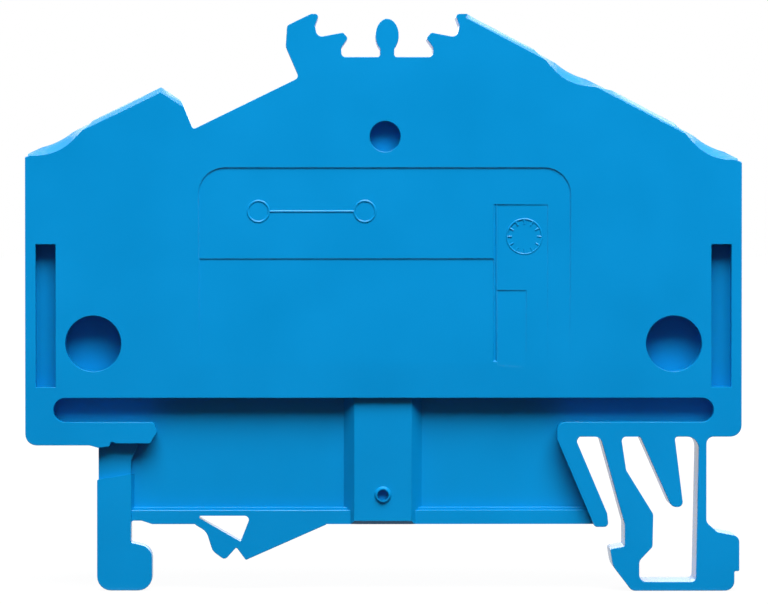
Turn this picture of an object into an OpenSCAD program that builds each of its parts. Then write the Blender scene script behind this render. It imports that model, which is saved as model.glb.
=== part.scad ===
// Feed-through terminal block for a 35 mm top-hat rail. Three spring clamps share one
// folded current bar inside a polyamide housing that is closed on one side and open on the other.
// Origin: the seat on the rail, at the middle of the block. +X runs along the block, +Z points
// away from the rail, and -Y points out of the closed side. All sizes are millimetres.

/* [Body] */
// Thickness of one block, its pitch along the rail
body_t = 5; // [4.8:0.1:7]
// Reach of the left end from the origin
reach_left = 25.55; // [25.2:0.05:28]
// Reach of the right end from the origin
reach_right = 25.65; // [25.3:0.05:28]
// Height of the left shoulder above the rail
left_shoulder_h = 26.55; // [26:0.05:28]
// Height of the right shoulder above the rail
right_shoulder_h = 26.2; // [25.8:0.05:27.5]
// Slope of the left ramp
left_ramp_deg = 26; // [24:0.5:28]
// Slope of the right ramp
right_ramp_deg = 27.7; // [26:0.1:29]
// Rise of the marker carrier's top above the right shoulder
top_rise = 10.3; // [9.8:0.05:11.3]
// Wall of the closed side
closed_wall = 0.8; // [0.6:0.05:1.2]
// Underside of the main body above the rail
body_floor_h = 9.07; // [8.6:0.01:9.6]
// Wall between the underside and the inside
floor_wall = 0.9; // [0.7:0.05:1.4]
// Drop of the sloped ramp edges at the closed face
edge_drop = 0.35; // [0.1:0.05:0.6]
// Depth of those slopes behind the closed face
edge_depth = 0.8; // [0.4:0.1:1.2]

/* [Tower and low ramp] */
// Ramp length from the left entry to the crest of the tower
tower_run = 8.5; // [8.3:0.1:9.5]
// Width of the bevel behind the crest
tower_bevel_w = 1.45; // [1:0.05:2]
// Drop of the bevel behind the crest
tower_bevel_drop = 0.95; // [0.6:0.05:1.3]
// Lean of the tower's inner side, measured at its foot
tower_lean = 0.85; // [0.4:0.05:1.2]
// Drop of the low ramp below the line of the left ramp
low_ramp_drop = 4.14; // [3.6:0.02:4.6]

/* [Marker carrier] */
// Middle of the marker carrier behind the point where the right ramp reaches the top
carrier_run = 5.73; // [5.4:0.01:6.2]
// Outer side of the carrier from its middle
carrier_side = 7.15; // [6.8:0.05:7.6]
// Length of the foot on which the carrier's left side stands back
carrier_foot = 0.85; // [0.4:0.05:1.2]
// Depth of the carrier below its top
carrier_depth = 3.08; // [2.8:0.02:3.4]
// Wall between the carrier and the inside
carrier_wall = 2.42; // [2:0.02:2.8]
// Half width of the marker seat between the arms
seat_half_w = 5.15; // [4.9:0.05:5.3]
// Width of the left arm at its top
arm_t = 0.6; // [0.4:0.05:0.9]
// Lean of both arms over the marker seat
arm_lean = 0.3; // [0.1:0.05:0.4]
// Half width between the two ledges
ledge_half_w = 2.8; // [2.4:0.05:3.2]
// Height of the ledges above the floor
ledge_h = 1.75; // [1.4:0.05:2]
// Depth of the undercut below the ledges
ledge_undercut = 0.35; // [0.2:0.05:0.5]
// Width of the bulb that the marker snaps over
bulb_w = 1.66; // [1.4:0.02:2]
// Width of its neck
neck_w = 1; // [0.8:0.05:1.3]
// Height of the bulb above the floor
bulb_h = 2.74; // [2.4:0.02:3]
// Height of the bulb's round head
bulb_head = 2.4; // [2:0.05:2.6]

/* [Conductor entries] */
// Entry axis from the end of the block
entry_inset = 2.05; // [1.95:0.05:2.4]
// Spacing of the two right entries along the ramp
entry_pitch = 11.3; // [11.1:0.1:12]
// Entry axis behind the closed face
entry_depth = 2.15; // [2.1:0.05:2.4]
// Diameter of the entry bore
entry_d = 3.3; // [2.6:0.1:3.4]
// Funnel axis behind the closed face, nearer to it than the bore
funnel_depth = 1.9; // [1.7:0.05:2.1]
// Diameter of the funnel at the ramp
funnel_d = 6.6; // [6.2:0.1:6.8]
// Half angle of the funnel
funnel_deg = 59; // [56:1:62]
// Thickness of the roof under the ramps
roof_t = 5; // [4.6:0.1:5.6]
// Length of a driver slot along the ramp
driver_slot_l = 3; // [2.6:0.1:3.1]
// Width of a driver slot across the block
driver_slot_w = 3.2; // [2.6:0.1:3.4]
// Driver slot's far edge beyond the back of the spring
driver_past = 0.15; // [0:0.05:0.3]

/* [Current bar] */
// Thickness of the bar
bar_t = 0.8; // [0.6:0.05:1]
// Width of the bar
bar_w = 3.2; // [3:0.1:3.6]
// Width of the tabs that pass through the springs
tab_w = 2; // [1.6:0.1:2.1]
// Contact face of a tab from the entry axis
contact_v = 1.2; // [0.9:0.05:1.5]
// Gap between the roof and a tab's tip
tip_gap = 0.45; // [0.35:0.05:0.6]
// Length of a tab below the roof
tab_l = 10.2; // [9.9:0.1:11]
// Length of a tab's narrow end beyond the window leg
tab_neck = 0.6; // [0.4:0.05:0.9]
// Gap inside the folded tab of the inner entry
fold_gap = 0.15; // [0.1:0.01:0.25]
// Inner radius of the bar's bends
bar_bend_r = 0.5; // [0.3:0.05:0.8]

/* [Clamp springs] */
// Thickness of the spring strip
spring_t = 0.35; // [0.25:0.01:0.45]
// Width of the spring strip
spring_w = 3.2; // [3:0.1:3.6]
// Height of the spring's loop, between its two legs
loop_h = 4.3; // [3.9:0.05:4.5]
// Length of the spring from its window leg to the end of its bow
loop_l = 8.1; // [7.4:0.1:8.4]
// Window leg below the roof
window_leg_gap = 1.2; // [0.9:0.05:1.5]
// Clearance between a tab and the sides of the window
window_play = 0.1; // [0.05:0.01:0.2]
// Width of the bar of spring below the window, which grips the conductor
grip_w = 1.05; // [0.8:0.05:1.3]
// Width left between the window and the bend beside it
window_bridge = 0.6; // [0.4:0.05:0.9]
// Gap between the window leg and the end of the contact leg
leg_gap = 0.4; // [0.2:0.05:0.6]

/* [Inner walls] */
// Thickness of the inner walls and ribs
rib_t = 0.9; // [0.6:0.05:1.2]
// Wall round the blind sockets
socket_wall = 0.65; // [0.5:0.05:0.9]
// Gap between the inner walls and the bar
wall_gap = 0.6; // [0.4:0.05:0.8]
// Room between a spring and the wall beside it
spring_room = 0.55; // [0.3:0.05:0.7]
// Wall between a side slot and the inside
slot_wall = 0.7; // [0.5:0.05:0.9]
// Ribs under the level run of the bar
run_supports = 3; // [2:1:5]
// Ribs under the sloped run of the bar
slope_supports = 2; // [1:1:3]

/* [Closed face] */
// Depth of the side slots, the long groove and the web below the closed face
face_recess = 1.45; // [1.1:0.05:1.7]
// Diameter of the two large sockets
socket_d = 4; // [3.4:0.1:4.4]
// Large sockets from the ends of the block
socket_inset = 4.85; // [4.7:0.05:5.2]
// Height of the large sockets above the rail
socket_h = 12.95; // [12.7:0.05:13.4]
// Depth of the large sockets
socket_depth = 2; // [1.8:0.1:2.6]
// Diameter of the small socket
small_socket_d = 2.2; // [1.8:0.1:2.4]
// Axis of the small socket from the wall behind the inner spring
small_socket_gap = 1.53; // [1.3:0.01:1.8]
// Axis of the small socket below the carrier's top
small_socket_drop = 8.75; // [8.4:0.05:9.1]
// Depth of the small socket
small_socket_depth = 1.3; // [1.2:0.1:2]
// Width of the side slots
side_slot_w = 1.42; // [1:0.02:1.5]
// Side slots from the ends of the block
side_slot_inset = 0.75; // [0.6:0.05:1]
// Lower end of the side slots above the rail
side_slot_h = 9.85; // [9.6:0.05:11]
// Length of the side slots
side_slot_l = 10.2; // [8:0.1:11]
// Width of the long groove
groove_w = 1.73; // [1.3:0.01:1.9]
// Round ends of the long groove from the ends of the block
groove_inset = 2; // [1.6:0.05:2.6]

/* [Pegs of the open side] */
// Height of the large pegs
peg_l = 1.6; // [1:0.1:1.7]
// Height of the small peg
small_peg_l = 1; // [0.6:0.1:1.1]
// Clearance between a peg and the next block's socket
peg_play = 0.1; // [0.05:0.01:0.2]
// Chamfer at a peg's tip
peg_chamfer = 0.25; // [0.1:0.05:0.4]

/* [Rail seat] */
// Width of the rail
rail_w = 35; // [34.8:0.1:35.4]
// Play between the rail and the feet
rail_play = 0.32; // [0.1:0.02:0.5]
// Middle of the rail from the origin
rail_x = -0.37; // [-0.6:0.01:0]
// Thickness of the web between the feet
web_t = 1.6; // [1.2:0.1:2.2]
// Height of the lip along the web's lower edge
lip_h = 0.95; // [0.6:0.05:1.4]
// Step of the lip in front of the web
lip_step = 0.6; // [0.4:0.05:0.7]
// Height of each of the two slopes between the lip and the web
lip_slope = 0.15; // [0.1:0.01:0.2]
// Height of the tread between these slopes
lip_tread = 0.15; // [0.1:0.01:0.2]
// Width of the rib's flat front
rib_w = 4.1; // [3.4:0.1:5]
// Spread of the rib's sloped sides
rib_flare = 0.74; // [0.3:0.02:1]
// Rib's front behind the closed face
rib_recess = 0.5; // [0.3:0.05:0.7]
// Chamfer under the rib's front
rib_chamfer = 0.25; // [0.1:0.05:0.4]
// Diameter of the gate mark at its root in the rib
gate_d = 1.4; // [1.1:0.05:1.7]
// Height of the gate mark in front of the rib
gate_ring_h = 0.2; // [0.1:0.01:0.3]
// Width of the gate mark's flat rim
gate_rim = 0.08; // [0.05:0.01:0.15]
// Diameter of the dimple in the gate mark
gate_dimple_d = 0.8; // [0.5:0.05:0.95]
// Depth of that dimple behind the rib's front
gate_dimple_l = 0.3; // [0.1:0.05:0.5]
// Height of the gate mark above the rail
gate_h = 2.1; // [1.6:0.1:3]

/* [Hook foot] */
// Bottom of the left shelf above the rail
shelf_bottom_h = 5.68; // [5.2:0.02:6]
// Length of the left shelf along its underside
shelf_l = 8.92; // [8.6:0.02:9.6]
// Lean of the shelf's end
shelf_lean = 0.48; // [0.2:0.02:0.7]
// Small step in the shelf's underside, over the leg
shelf_step = 0.14; // [0.05:0.01:0.25]
// Dip of the shelf's underside beside that step
shelf_dip = 0.17; // [0.05:0.01:0.25]
// Relief of the seat beside the hook
seat_relief = 0.25; // [0.1:0.05:0.4]
// Thickness of the hook's leg along the block
hook_leg = 2.43; // [2:0.01:2.9]
// Leg's outer side behind the hook's
leg_inset = 0.1; // [0.05:0.05:0.2]
// Leg's step in front of the web
leg_step = 0.5; // [0.3:0.05:0.7]
// Reach of the hook under the rail
hook_reach = 1.51; // [1.1:0.01:1.8]
// Gap between the seat and the hook
hook_gap = 1.31; // [1.1:0.01:1.6]
// Fall of the hook's upper side towards its toe
hook_fall = 0.36; // [0.2:0.02:0.5]
// Bottom of both feet below the seat
foot_depth = 4.74; // [4.4:0.02:5.2]
// Step of the hook's face in front of the web
hook_step = 0.8; // [0.5:0.05:1]
// Height of the hook's stepped face above the rail
hook_face_h = 3.4; // [2.6:0.1:4]
// Slant of the upper edge of that face
hook_face_lean = 0.2; // [0.1:0.05:0.3]
// Draft of the hook's side towards the web
hook_draft = 0.22; // [0.1:0.02:0.4]

/* [Tooth] */
// Left root of the tooth from the hook's wall
tooth_inset = 4.51; // [4.2:0.01:5]
// Depth of the tooth below the seat
tooth_depth = 2.58; // [2.2:0.02:2.9]
// Length of the tooth along the rail
tooth_l = 9.56; // [9:0.02:10.5]
// Point of the tooth from its left root
tooth_point = 2.2; // [1.8:0.05:2.6]
// Width of the notch in the point
tooth_notch_w = 1.5; // [1:0.05:1.9]
// Height of that notch
tooth_notch_h = 0.92; // [0.5:0.02:1.1]
// Length of the three-cornered hole in the tooth
tooth_hole_l = 3.96; // [3:0.02:4.4]
// Upper side of that hole above the seat
tooth_hole_h = 0.6; // [0.4:0.05:0.75]
// Wall between the hole and the notch
tooth_wall = 0.4; // [0.3:0.02:0.6]

/* [Latch foot] */
// Edge of the latch plate before the latch wall
plate_l = 4.83; // [4.7:0.01:5]
// Stop finger's tip below the seat
finger_drop = 0.17; // [0.05:0.01:0.3]
// Stop finger's tip before the latch wall
finger_gap = 1.15; // [1:0.05:1.3]
// Width of the stop finger's tip
finger_w = 1; // [0.8:0.05:1.15]
// Width of the slot between the finger and the latch
finger_slot_w = 1.5; // [1.3:0.05:1.7]
// Lean of the latch's inner side above the rail
latch_lean = 1.75; // [1.6:0.05:1.9]
// Gap between the seat and the latch nose
latch_gap = 1.57; // [1.3:0.01:1.8]
// Reach of the latch nose under the rail
nose_reach = 1.05; // [0.8:0.01:1.3]
// Fall of the nose's upper side towards its tip
nose_fall = 0.18; // [0.1:0.02:0.3]
// Height of the nose's flank
nose_h = 1.4; // [1.2:0.05:1.6]
// Thickness of the bridge that carries the latch
bridge_t = 1.05; // [0.8:0.01:1.3]
// Thickness of the outer spring leg
outer_leg_t = 0.6; // [0.45:0.01:0.8]
// Length of the release toe beyond the outer leg
toe_l = 2.51; // [2.2:0.01:2.9]
// Height of the release toe over the feet's bottom
toe_h = 3.9; // [3.6:0.05:4.2]
// Toe's face behind the end of the block
toe_inset = 0.15; // [0.05:0.05:0.3]
// Heel's face behind the toe
heel_step = 0.35; // [0.2:0.05:0.5]
// Height of the heel
heel_h = 1.4; // [1.1:0.05:1.7]
// Thickness of the sole under the latch
sole_t = 0.64; // [0.5:0.01:0.9]

/* [Hidden] */

POLYAMIDE_BLUE = "#0a8dd2";
TINNED_COPPER = "#c9c7c0";
SPRING_STEEL = "#a9adb0";

// Levels across the block, from the closed face to the open side
y_face = -body_t / 2;
y_open = body_t / 2;
y_inside = y_face + closed_wall;
y_recess = y_face + face_recess;
y_web_back = y_recess + web_t;
y_entry = y_face + entry_depth;
y_funnel = y_face + funnel_depth;
y_rib = y_face + rib_recess;
y_metal = y_inside + bar_w / 2;

// Overshoot of cuts into the open, overlap of pieces of one moulding, and shortest overshoot
cut = 1;
sink = 0.4;
nip = 0.1;
// Angle covered by one chord of a round
arc_step = 15;
// Rounds of the moulding, from a crisp edge to a wide sweep
CRISP = 0.1;
FINE = 0.2;
SMALL = 0.3;
MEDIUM = 0.5;
LARGE = 0.8;
WIDE = 1;

// Places in the upper part, which rises with the right shoulder
top_h = right_shoulder_h + top_rise;
carrier_floor_h = top_h - carrier_depth;
carrier_x = reach_right - top_rise / tan(right_ramp_deg) - carrier_run;
carrier_side_x = carrier_x - carrier_side;
ramp_top_x = carrier_x + carrier_run;
small_socket_h = top_h - small_socket_drop;

// Heights that several features share
groove_bottom_h = body_floor_h - groove_w;
inside_floor_h = body_floor_h + floor_wall;
slot_top_h = groove_bottom_h - bridge_t;

// Feet on the rail
hook_wall_x = rail_x - (rail_w + rail_play) / 2;
latch_wall_x = rail_x + (rail_w + rail_play) / 2;
tooth_x = hook_wall_x + tooth_inset;
hook_left_x = hook_wall_x - hook_leg;
leg_left_x = hook_left_x + leg_inset;
hook_toe_x = hook_wall_x + hook_reach;
leg_x = reach_right - toe_l;
socket_places = [socket_inset - reach_left, reach_right - socket_inset];

// Entries: [x, z, ramp angle, side], on the full ramp line; side is -1 on the left
entry_left = [entry_inset - reach_left, left_ramp(entry_inset - reach_left), left_ramp_deg, -1];
entry_outer = [reach_right - entry_inset, right_ramp(reach_right - entry_inset), right_ramp_deg, 1];
entry_inner = concat(clamp_point(entry_outer, 0, entry_pitch), [right_ramp_deg, 1]);

// Depths along an entry: tab tip, bend of the bar, window leg and end of the spring's bow
tip_u = roof_t + tip_gap;
bar_u = roof_t + tab_l;
window_u = roof_t + window_leg_gap;
bow_u = window_u + loop_l;
// Tab thickness behind the contact face: one layer, or two in the fold
single_tab = bar_t;
folded_tab = 2 * bar_t + fold_gap;
inner_wall_v = contact_v + single_tab + spring_t + loop_h + spring_room;
inner_wall_folded_v = inner_wall_v + folded_tab - single_tab;
small_socket_x = beside(entry_inner, inner_wall_folded_v + small_socket_gap, small_socket_h);

// Crest of the tower and the foot of the bevel behind it
crest = clamp_point(entry_left, 0, tower_run);
bevel_foot = crest + [tower_bevel_w, -tower_bevel_drop];

// Ramp heights at x, on the full outline
function left_ramp(x) = left_shoulder_h + (reach_left + x) * tan(left_ramp_deg);
function right_ramp(x) = right_shoulder_h + (reach_right - x) * tan(right_ramp_deg);
function low_ramp(x) = left_ramp(x) - low_ramp_drop;

// Point at depth u along an entry's axis and v beside it, towards the middle of the block
function clamp_point(e, u, v) = [
    e[0] - e[3] * (u * sin(e[2]) + v * cos(e[2])),
    e[1] - u * cos(e[2]) + v * sin(e[2])
];

// Place along the block of the point at height z that lies v beside an entry's axis
function beside(e, v, z) = e[0] - e[3] * (v - (z - e[1]) * sin(e[2])) / cos(e[2]);

function flat(c) = [c[0], c[1]];
function unit(v) = v / norm(v);
function turn_left(v) = [-v[1], v[0]];
function cross_2d(a, b) = a[0] * b[1] - a[1] * b[0];

// Points of the round at corner b, limited by half of the shorter side
function round_corner(a, b, c, r) =
    let (to_a = unit(a - b), to_c = unit(c - b))
    let (half = acos(max(-1, min(1, to_a * to_c))) / 2)
    let (back = min(r / tan(half), 0.49 * norm(a - b), 0.49 * norm(c - b)))
    let (radius = back * tan(half))
    radius < 0.01 || half > 89 ? [b] :
    let (middle = b + unit(to_a + to_c) * radius / sin(half))
    let (start = b + to_a * back - middle)
    let (sweep = (180 - 2 * half) * sign(cross_2d(b - a, c - b)))
    let (steps = max(2, ceil(abs(sweep) / arc_step)))
    [for (i = [0:steps]) let (w = sweep * i / steps)
        middle + [start[0] * cos(w) - start[1] * sin(w), start[0] * sin(w) + start[1] * cos(w)]];

// Outline points of a list of corners [x, z, radius]
function outline(corners) =
    let (n = len(corners))
    [for (i = [0:n - 1])
        each round_corner(flat(corners[(i + n - 1) % n]), flat(corners[i]),
                          flat(corners[(i + 1) % n]), corners[i][2])];

// Corner list of a bent strip of thickness t along centre points [x, z, inner bend radius]
function strip_side(path, t, side) =
    let (n = len(path))
    [for (i = [0:n - 1])
        let (p = flat(path[i]))
        let (into = unit(p - flat(path[max(i - 1, 0)]) + (i == 0 ? flat(path[1]) - p : [0, 0])))
        let (out = i == n - 1 ? into : unit(flat(path[i + 1]) - p))
        let (mid = (turn_left(into) + turn_left(out)) / (1 + into * out))
        let (inner = cross_2d(into, out) * side > 0)
        concat(p + side * mid * t / 2, [path[i][2] == 0 ? 0 : path[i][2] + (inner ? 0 : t)])];
function reversed(list) = [for (i = [len(list) - 1:-1:0]) list[i]];
function strip(path, t) = concat(strip_side(path, t, -1), reversed(strip_side(path, t, 1)));

// Corner list of a rectangle in the depth and side coordinates of an entry
function clamp_box(e, u0, u1, v0, v1, r = 0) = [
    for (c = [[u0, v0], [u1, v0], [u1, v1], [u0, v1]]) concat(clamp_point(e, c[0], c[1]), [r])
];

// Extrudes an x-z outline between two levels across the block
module slab(y0, y1) {
    translate([0, y1, 0])
        rotate([90, 0, 0])
            linear_extrude(y1 - y0)
                children();
}

module shape(corners) {
    polygon(outline(corners));
}

// Places children on an entry, with +Z out of the ramp along its axis
module at_entry(e, y) {
    translate([e[0], y, e[1]])
        rotate([0, e[3] * e[2], 0])
            children();
}

// Half of the marker carrier's profile above its floor, from the bulb's top out to the arm's top
function carrier_half() =
    let (undercut = ledge_undercut, head = bulb_head / 2, neck_deg = 180 - asin(neck_w / bulb_w))
    [
        for (a = [arc_step / 2:arc_step:neck_deg])
            [bulb_w / 2 * sin(a), bulb_h - head + head * cos(a), 0],
        [neck_w / 2, 0, FINE],
        [ledge_half_w + undercut * 1.3, 0, SMALL],
        [ledge_half_w + undercut * 1.4, ledge_h * 0.37, SMALL],
        [ledge_half_w, ledge_h * 0.77, FINE],
        [ledge_half_w + undercut, ledge_h, FINE],
        [seat_half_w - arm_lean / 2, ledge_h - undercut, MEDIUM],
        [seat_half_w, ledge_h + MEDIUM, SMALL],
        [seat_half_w - arm_lean, carrier_depth, FINE]
    ];
function carrier_side_points(side) = [
    for (c = carrier_half()) [carrier_x + side * c[0], carrier_floor_h + c[1], c[2]]
];

// Upper outline from the right shoulder over the carrier to the left shoulder
function upper_corners() =
    let (notch_x = bevel_foot[0] + tower_lean)
    let (foot_x = carrier_side_x + carrier_foot)
    let (arm_x = carrier_x - seat_half_w + arm_lean - arm_t)
    let (side_top = top_h - (arm_x - carrier_side_x) * tan(left_ramp_deg))
    let (side_bend = side_top - 0.37 * (side_top - low_ramp(carrier_side_x)))
    concat(
        [[reach_right, right_shoulder_h, CRISP], [ramp_top_x, top_h, FINE]],
        reversed(carrier_side_points(1)),
        carrier_side_points(-1),
        [
            [arm_x, top_h, SMALL],
            [carrier_side_x, side_top, SMALL],
            [carrier_side_x - CRISP, side_bend, MEDIUM],
            [foot_x, low_ramp(foot_x), SMALL],
            [notch_x, low_ramp(notch_x), FINE],
            concat(bevel_foot, [MEDIUM]),
            concat(crest, [CRISP]),
            [-reach_left, left_shoulder_h, CRISP]
        ]);

// Left shelf and long groove, from the shelf's corner round to the latch foot
function shelf_corners() =
    let (end_x = shelf_l - reach_left, step_x = hook_left_x + hook_leg * 0.37, ease = MEDIUM)
    [
        [-reach_left, shelf_bottom_h, LARGE],
        [hook_left_x - ease, shelf_bottom_h, SMALL],
        [leg_left_x, shelf_bottom_h - shelf_dip, CRISP],
        [step_x, shelf_bottom_h - shelf_dip / 2, CRISP],
        [step_x + shelf_step, shelf_bottom_h + 2 * shelf_step, CRISP],
        [step_x + ease, shelf_bottom_h + shelf_step, CRISP],
        [end_x, shelf_bottom_h + shelf_step, CRISP],
        [end_x + shelf_lean, (shelf_bottom_h + groove_bottom_h) / 2 + shelf_step, SMALL],
        [end_x + shelf_lean / 2, groove_bottom_h, SMALL],
        [groove_inset - reach_left, groove_bottom_h, groove_w / 2],
        [groove_inset - reach_left, body_floor_h, groove_w / 2],
        [reach_right - groove_inset, body_floor_h, groove_w / 2],
        [reach_right - groove_inset, groove_bottom_h, groove_w / 2]
    ];

// Latch foot: stop finger, sprung nose, sole and release toe
function latch_corners() =
    let (wall = latch_wall_x, bottom = -foot_depth, toe_top = bottom + toe_h)
    let (toe_x = reach_right - toe_inset, heel_x = toe_x - heel_step)
    let (tip_x = wall - finger_gap, slot_x = wall - latch_lean)
    let (tip_taper = CRISP, tip_h = LARGE, nose_lean = FINE, neck = FINE, neck_h = slot_top_h - SMALL)
    let (sole_x = wall + MEDIUM, toe_x_inner = leg_x + LARGE, toe_fall = SMALL, leg_foot_h = toe_top + WIDE)
    [
        [wall - plate_l, groove_bottom_h, LARGE],
        [wall - plate_l, slot_top_h - neck, MEDIUM],
        [tip_x - finger_w, -finger_drop, SMALL],
        [tip_x, -finger_drop, SMALL],
        [tip_x - tip_taper, tip_h, SMALL],
        [slot_x - finger_slot_w - neck, neck_h, SMALL],
        [slot_x - finger_slot_w, slot_top_h, FINE],
        [slot_x, slot_top_h, MEDIUM],
        [wall, 0, MEDIUM],
        [wall, -latch_gap, CRISP],
        [wall - nose_reach, -latch_gap - nose_fall, FINE],
        [wall - nose_reach + nose_lean, -latch_gap - nose_h, WIDE],
        [sole_x, bottom, MEDIUM],
        [heel_x, bottom, LARGE],
        [heel_x, bottom + heel_h, CRISP],
        [toe_x, bottom + heel_h, CRISP],
        [toe_x, toe_top, MEDIUM],
        [toe_x_inner, toe_top + toe_fall, SMALL],
        [leg_x, leg_foot_h, MEDIUM],
        [leg_x, slot_top_h, MEDIUM],
        [reach_right, slot_top_h, LARGE]
    ];

// Opening of the latch foot: two branches round a hanging wedge, joined above the sole.
// Its corners are shares of the room between the nose wall and the outer leg.
function latch_opening_corners() =
    let (room = leg_x - outer_leg_t - latch_wall_x, floor_z = sole_t - foot_depth)
    [
        for (c = [
            [-0.05, slot_top_h, SMALL],
            [0.02, slot_top_h - 2.4, MEDIUM],
            [0.39, 0.75, MEDIUM],
            [0.38, -1.6, SMALL],
            [0.2, -2.6, MEDIUM],
            [0.2, floor_z, MEDIUM],
            [0.97, floor_z, SMALL],
            [1.01, slot_top_h, WIDE],
            [0.68, slot_top_h, FINE],
            [0.8, 1.25, MEDIUM],
            [0.64, 1.25, MEDIUM],
            [0.21, slot_top_h, FINE]
        ]) [latch_wall_x + c[0] * room, c[1], c[2]]
    ];

// Everything that lies flush with the closed face
function face_corners() = concat(shelf_corners(), latch_corners(), upper_corners());

// Web between the feet, with its relief beside the hook
function web_corners() =
    let (plate_lap = MEDIUM, end_x = latch_wall_x - plate_l + plate_lap)
    [
        [leg_left_x, groove_bottom_h + sink, 0],
        [leg_left_x, -sink, 0],
        [hook_wall_x, -sink, 0],
        [hook_wall_x, seat_relief, FINE],
        [(hook_wall_x + hook_toe_x) / 2, seat_relief, FINE],
        [hook_toe_x, 0, FINE],
        [latch_wall_x - finger_gap - finger_w / 2, 0, 0],
        [end_x, slot_top_h, 0],
        [end_x, groove_bottom_h + sink, 0]
    ];

// Leg between the shelf and the hook, flared where it meets the shelf
function leg_corners() =
    let (flare_h = (hook_face_h + shelf_bottom_h) / 2, flare_x = hook_wall_x + MEDIUM)
    [
        [leg_left_x, shelf_bottom_h + sink, 0],
        [leg_left_x, 0, 0],
        [hook_wall_x, 0, 0],
        [hook_wall_x, flare_h, LARGE],
        [flare_x, shelf_bottom_h, 0],
        [flare_x, shelf_bottom_h + sink, 0]
    ];

function hook_corners() = [
    [hook_left_x, hook_face_h - hook_face_lean, CRISP],
    [hook_left_x, -foot_depth, WIDE],
    [hook_toe_x, -foot_depth, WIDE],
    [hook_toe_x, -hook_gap - hook_fall, WIDE],
    [hook_wall_x, -hook_gap, CRISP],
    [hook_wall_x, hook_face_h + hook_face_lean, CRISP]
];

// Tooth that reaches into the rail, with a notch in its point
function tooth_corners() =
    let (bottom = -tooth_depth, end_x = tooth_x + tooth_l)
    [
        [tooth_x, sink, 0],
        [tooth_x, 0, LARGE],
        [tooth_x + 0.4 * tooth_point, 0.2 * bottom, WIDE],
        [tooth_x + 0.6 * tooth_point, 0.75 * bottom, LARGE],
        [tooth_x + tooth_point, bottom, SMALL],
        [tooth_x + tooth_point + 0.55 * tooth_notch_w, bottom + tooth_notch_h, CRISP],
        [tooth_x + tooth_point + tooth_notch_w, bottom, CRISP],
        [end_x, 0, SMALL],
        [end_x, sink, 0]
    ];
function tooth_hole_corners() =
    let (hole_inset = CRISP, left_x = tooth_x + hole_inset)
    [
        [left_x, tooth_hole_h, CRISP],
        [tooth_x + tooth_point + 0.75 * tooth_notch_w, tooth_notch_h + tooth_wall - tooth_depth, CRISP],
        [left_x + tooth_hole_l, tooth_hole_h, SMALL]
    ];

// Inside of the housing below the roof, up to the low ramp and the carrier
function cavity_corners() =
    let (wall = side_slot_inset + side_slot_w + slot_wall)
    let (left = wall - reach_left, right = reach_right - wall)
    let (left_v = (left - entry_left[0]) / cos(left_ramp_deg) - roof_t * tan(left_ramp_deg))
    let (right_v = (entry_outer[0] - right) / cos(right_ramp_deg) - roof_t * tan(right_ramp_deg))
    let (low_x = bevel_foot[0] + tower_lean + rib_t)
    let (low_roof = rib_t / cos(left_ramp_deg), foot_x = carrier_side_x + carrier_foot)
    [
        [left, inside_floor_h, MEDIUM],
        [right, inside_floor_h, MEDIUM],
        concat(clamp_point(entry_outer, roof_t, right_v), [MEDIUM]),
        concat(clamp_point(entry_inner, roof_t, inner_wall_folded_v), [MEDIUM]),
        [carrier_x - seat_half_w, carrier_floor_h - carrier_wall, MEDIUM],
        [foot_x, low_ramp(foot_x) - low_roof, MEDIUM],
        [low_x, low_ramp(low_x) - low_roof, SMALL],
        concat(clamp_point(entry_left, roof_t, inner_wall_v), [SMALL]),
        concat(clamp_point(entry_left, roof_t, left_v), [MEDIUM])
    ];

// Centre line of the folded current bar, from the outer right tab to the left tab
function bar_path() =
    let (first = contact_v + bar_t / 2, back = first + bar_t + fold_gap)
    let (run_z = clamp_point(entry_left, bar_u, first)[1])
    let (down_u = (clamp_point(entry_inner, 0, back)[1] - run_z) / cos(right_ramp_deg))
    [
        concat(clamp_point(entry_outer, tip_u, first), [0]),
        concat(clamp_point(entry_outer, bar_u, first), [bar_bend_r]),
        concat(clamp_point(entry_inner, bar_u, first), [bar_bend_r]),
        concat(clamp_point(entry_inner, tip_u + bar_t / 2, first), [fold_gap / 2]),
        concat(clamp_point(entry_inner, tip_u + bar_t / 2, back), [fold_gap / 2]),
        concat(clamp_point(entry_inner, down_u, back), [bar_bend_r]),
        concat(clamp_point(entry_left, bar_u, first), [bar_bend_r]),
        concat(clamp_point(entry_left, tip_u, first), [0])
    ];

// Centre line of a clamp spring behind a tab of the given thickness
function spring_path(e, tab) =
    let (leg_v = contact_v + tab + spring_t / 2, bow_r = loop_h / 2 - spring_t / 2)
    [
        concat(clamp_point(e, window_u + spring_t + leg_gap, leg_v), [0]),
        concat(clamp_point(e, bow_u, leg_v), [bow_r]),
        concat(clamp_point(e, bow_u, leg_v + loop_h), [bow_r]),
        concat(clamp_point(e, window_u, leg_v + loop_h), [spring_t]),
        concat(clamp_point(e, window_u, contact_v - grip_w), [0])
    ];

// Inner walls and ribs that stand in the cavity
module inner_walls() {
    wall_end_u = bar_u - bar_t / 2 - wall_gap;
    shape(clamp_box(entry_left, roof_t - sink, wall_end_u, inner_wall_v, inner_wall_v + rib_t, FINE));
    shape(clamp_box(entry_outer, roof_t - sink, wall_end_u, inner_wall_v, inner_wall_v + rib_t, FINE));
    shape(clamp_box(entry_inner, roof_t - sink, wall_end_u, inner_wall_folded_v,
                    inner_wall_folded_v + rib_t, FINE));
    for (x = socket_places)
        translate([x, socket_h])
            circle(d = socket_d + 2 * socket_wall, $fn = 64);
    translate([small_socket_x, small_socket_h])
        circle(d = small_socket_d + 2 * socket_wall, $fn = 48);
    bar_supports();
}

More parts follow.
